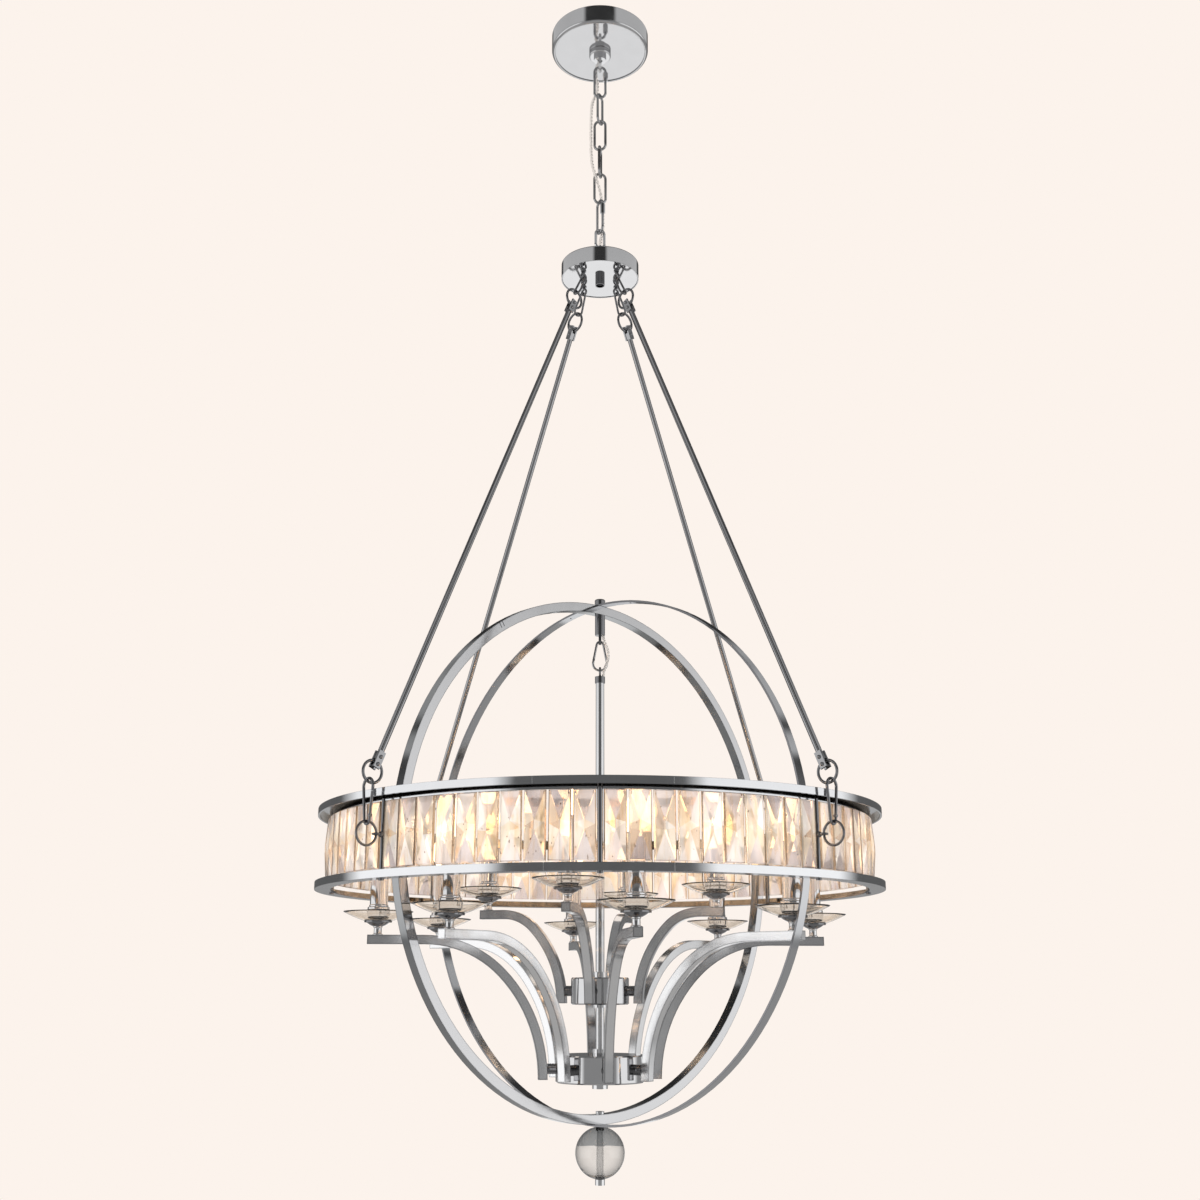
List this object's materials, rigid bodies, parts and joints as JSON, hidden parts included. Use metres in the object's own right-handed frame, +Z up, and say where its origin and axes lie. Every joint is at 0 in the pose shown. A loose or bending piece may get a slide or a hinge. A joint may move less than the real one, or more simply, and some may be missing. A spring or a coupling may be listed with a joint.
{
  "type": "chandelier",
  "caption": "Ceiling-hung ring chandelier with cut crystals round a steel ring, crossed hoops, and candle lamps on curved arms.",
  "frame": {"origin": "ceiling plane at the middle of the canopy, between the two mounting screws", "axes": "+Z up, +X to the right and +Y away from the viewer of the pictured front"},
  "size_m": [0.9649, 0.965, 2.1895],
  "materials": {
    "chrome": "polished plated steel",
    "crystal": "clear cut crystal",
    "clear_glass": "clear glass",
    "bulb_glass": "lit lamp glass",
    "lamp_holder": "moulded",
    "cord_jacket": "clear jacket"
  },
  "bodies": {
    "ceiling": {"ceiling_crossbar": "chrome", "canopy": "chrome", "canopy_loop": "chrome", "power_cord": "cord_jacket"},
    "collar": {"canopy_collar": "chrome"},
    "link_upper": {"quick_link_upper": "chrome"},
    "chain_run": {"chain_link_1": "chrome", "chain_link_2": "chrome", "chain_link_3": "chrome", "chain_link_4": "chrome"},
    "link_lower": {"quick_link_lower": "chrome"},
    "hub": {"hub_loop": "chrome", "hub_body": "chrome", "hub_plate": "chrome", "hub_nut": "chrome", "hub_eyes": "chrome", "top_snap_links": "chrome", "top_rings": "chrome"},
    "sleeve_upper": {"quick_sleeve_upper": "chrome"},
    "sleeve_lower": {"quick_sleeve_lower": "chrome"},
    "ring_frame": {"lower_rings": "chrome", "snap_links": "chrome", "eye_rings": "chrome", "eye_bolts": "chrome", "band_upper": "chrome", "band_lower": "chrome", "ring_posts": "chrome", "crystals": "crystal", "hoop_tube": "chrome", "hoop_strip": "chrome", "pole_knob": "chrome", "pole_coupler": "chrome", "finial_rod": "chrome", "finial_ball": "crystal", "finial_nut": "chrome", "centre_link": "chrome", "centre_cord": "cord_jacket"},
    "rod_1": {"rod_1": "chrome"},
    "rod_2": {"rod_2": "chrome"},
    "rod_3": {"rod_3": "chrome"},
    "rod_4": {"rod_4": "chrome"},
    "gate_1": {"snap_gate_1": "chrome"},
    "gate_2": {"snap_gate_2": "chrome"},
    "gate_3": {"snap_gate_3": "chrome"},
    "gate_4": {"snap_gate_4": "chrome"},
    "centre_gate": {"centre_gate": "chrome"},
    "cluster": {"stem_loop": "chrome", "stem": "chrome", "cluster_hub_upper": "chrome", "cluster_hub_lower": "chrome", "cluster_nuts": "chrome", "arms_upper": "chrome", "arms_lower": "chrome", "arm_spacers": "chrome", "candle_cups": "chrome", "glass_dishes": "clear_glass", "candle_sleeves": "chrome", "lamp_holders": "lamp_holder", "bulbs": "bulb_glass"}
  },
  "joints": [
    {"name": "collar_turn", "type": "hinge", "parent": "ceiling", "child": "collar", "pos_m": [0, 0, -0.042], "axis": [0, 0, 1], "range_deg": [-180, 180]},
    {"name": "link_upper_swing", "type": "hinge", "parent": "ceiling", "child": "link_upper", "pos_m": [0, 0, -0.07705], "axis": [0, 1, 0], "range_deg": [-12, 12], "deforming": ["power_cord"]},
    {"name": "chain_run_swing", "type": "hinge", "parent": "link_upper", "child": "chain_run", "pos_m": [0, 0, -0.14225], "axis": [1, 0, 0], "range_deg": [-12, 12], "deforming": ["power_cord"]},
    {"name": "link_lower_swing", "type": "hinge", "parent": "chain_run", "child": "link_lower", "pos_m": [0, 0, -0.38425], "axis": [0.9903, 0.1392, 0], "range_deg": [-12, 12], "deforming": ["power_cord"]},
    {"name": "hub_swing", "type": "hinge", "parent": "link_lower", "child": "hub", "pos_m": [0, 0, -0.44995], "axis": [0.4695, -0.8829, 0], "range_deg": [-12, 12], "deforming": ["power_cord"]},
    {"name": "sleeve_upper_turn", "type": "hinge", "parent": "link_upper", "child": "sleeve_upper", "pos_m": [0.011, 0, -0.09725], "axis": [0, 0, 1], "range_deg": [-180, 180]},
    {"name": "sleeve_lower_turn", "type": "hinge", "parent": "link_lower", "child": "sleeve_lower", "pos_m": [0.00516, -0.00971, -0.40495], "axis": [0, 0, 1], "range_deg": [-180, 180]},
    {"name": "ring_twist", "type": "hinge", "parent": "hub", "child": "ring_frame", "pos_m": [0, 0, -1.55349], "axis": [0, 0, 1], "range_deg": [-2, 2]},
    {"name": "rod_1_swing", "type": "hinge", "parent": "hub", "child": "rod_1", "pos_m": [-0.0529, -0.0529, -0.63121], "axis": [-0.647, -0.647, 0.4035], "range_deg": [-1, 1]},
    {"name": "rod_2_swing", "type": "hinge", "parent": "hub", "child": "rod_2", "pos_m": [0.0529, -0.0529, -0.63121], "axis": [0.647, -0.647, 0.4035], "range_deg": [-1, 1]},
    {"name": "rod_3_swing", "type": "hinge", "parent": "hub", "child": "rod_3", "pos_m": [0.0529, 0.0529, -0.63121], "axis": [0.647, 0.647, 0.4035], "range_deg": [-1, 1]},
    {"name": "rod_4_swing", "type": "hinge", "parent": "hub", "child": "rod_4", "pos_m": [-0.0529, 0.0529, -0.63121], "axis": [-0.647, 0.647, 0.4035], "range_deg": [-1, 1]},
    {"name": "gate_1_open", "type": "hinge", "parent": "ring_frame", "child": "gate_1", "pos_m": [-0.34348, -0.35335, -1.63138], "axis": [-0.7071, -0.7071, 0], "range_deg": [0, 22], "stiffness_Nm_per_rad": 0.02, "springref_deg": -17.19},
    {"name": "gate_2_open", "type": "hinge", "parent": "ring_frame", "child": "gate_2", "pos_m": [0.35335, -0.34348, -1.63138], "axis": [0.7071, -0.7071, 0], "range_deg": [0, 22], "stiffness_Nm_per_rad": 0.02, "springref_deg": -17.19},
    {"name": "gate_3_open", "type": "hinge", "parent": "ring_frame", "child": "gate_3", "pos_m": [0.34348, 0.35335, -1.63138], "axis": [0.7071, 0.7071, 0], "range_deg": [0, 22], "stiffness_Nm_per_rad": 0.02, "springref_deg": -17.19},
    {"name": "gate_4_open", "type": "hinge", "parent": "ring_frame", "child": "gate_4", "pos_m": [-0.35335, 0.34348, -1.63138], "axis": [-0.7071, 0.7071, 0], "range_deg": [0, 22], "stiffness_Nm_per_rad": 0.02, "springref_deg": -17.19},
    {"name": "centre_gate_open", "type": "hinge", "parent": "ring_frame", "child": "centre_gate", "pos_m": [-0.01138, 0, -1.31161], "axis": [0, 1, 0], "range_deg": [0, 20], "stiffness_Nm_per_rad": 0.02, "springref_deg": -17.19},
    {"name": "cluster_turn", "type": "hinge", "parent": "ring_frame", "child": "cluster", "pos_m": [0, 0, -1.332], "axis": [0, 0, 1], "range_deg": [0, 28], "deforming": ["centre_cord"]}
  ],
  "couplings": [
    {"joint": "rod_1_swing", "follows": "ring_twist", "ratio": 0.47776},
    {"joint": "rod_2_swing", "follows": "ring_twist", "ratio": 0.47776},
    {"joint": "rod_3_swing", "follows": "ring_twist", "ratio": 0.47776},
    {"joint": "rod_4_swing", "follows": "ring_twist", "ratio": 0.47776}
  ]
}
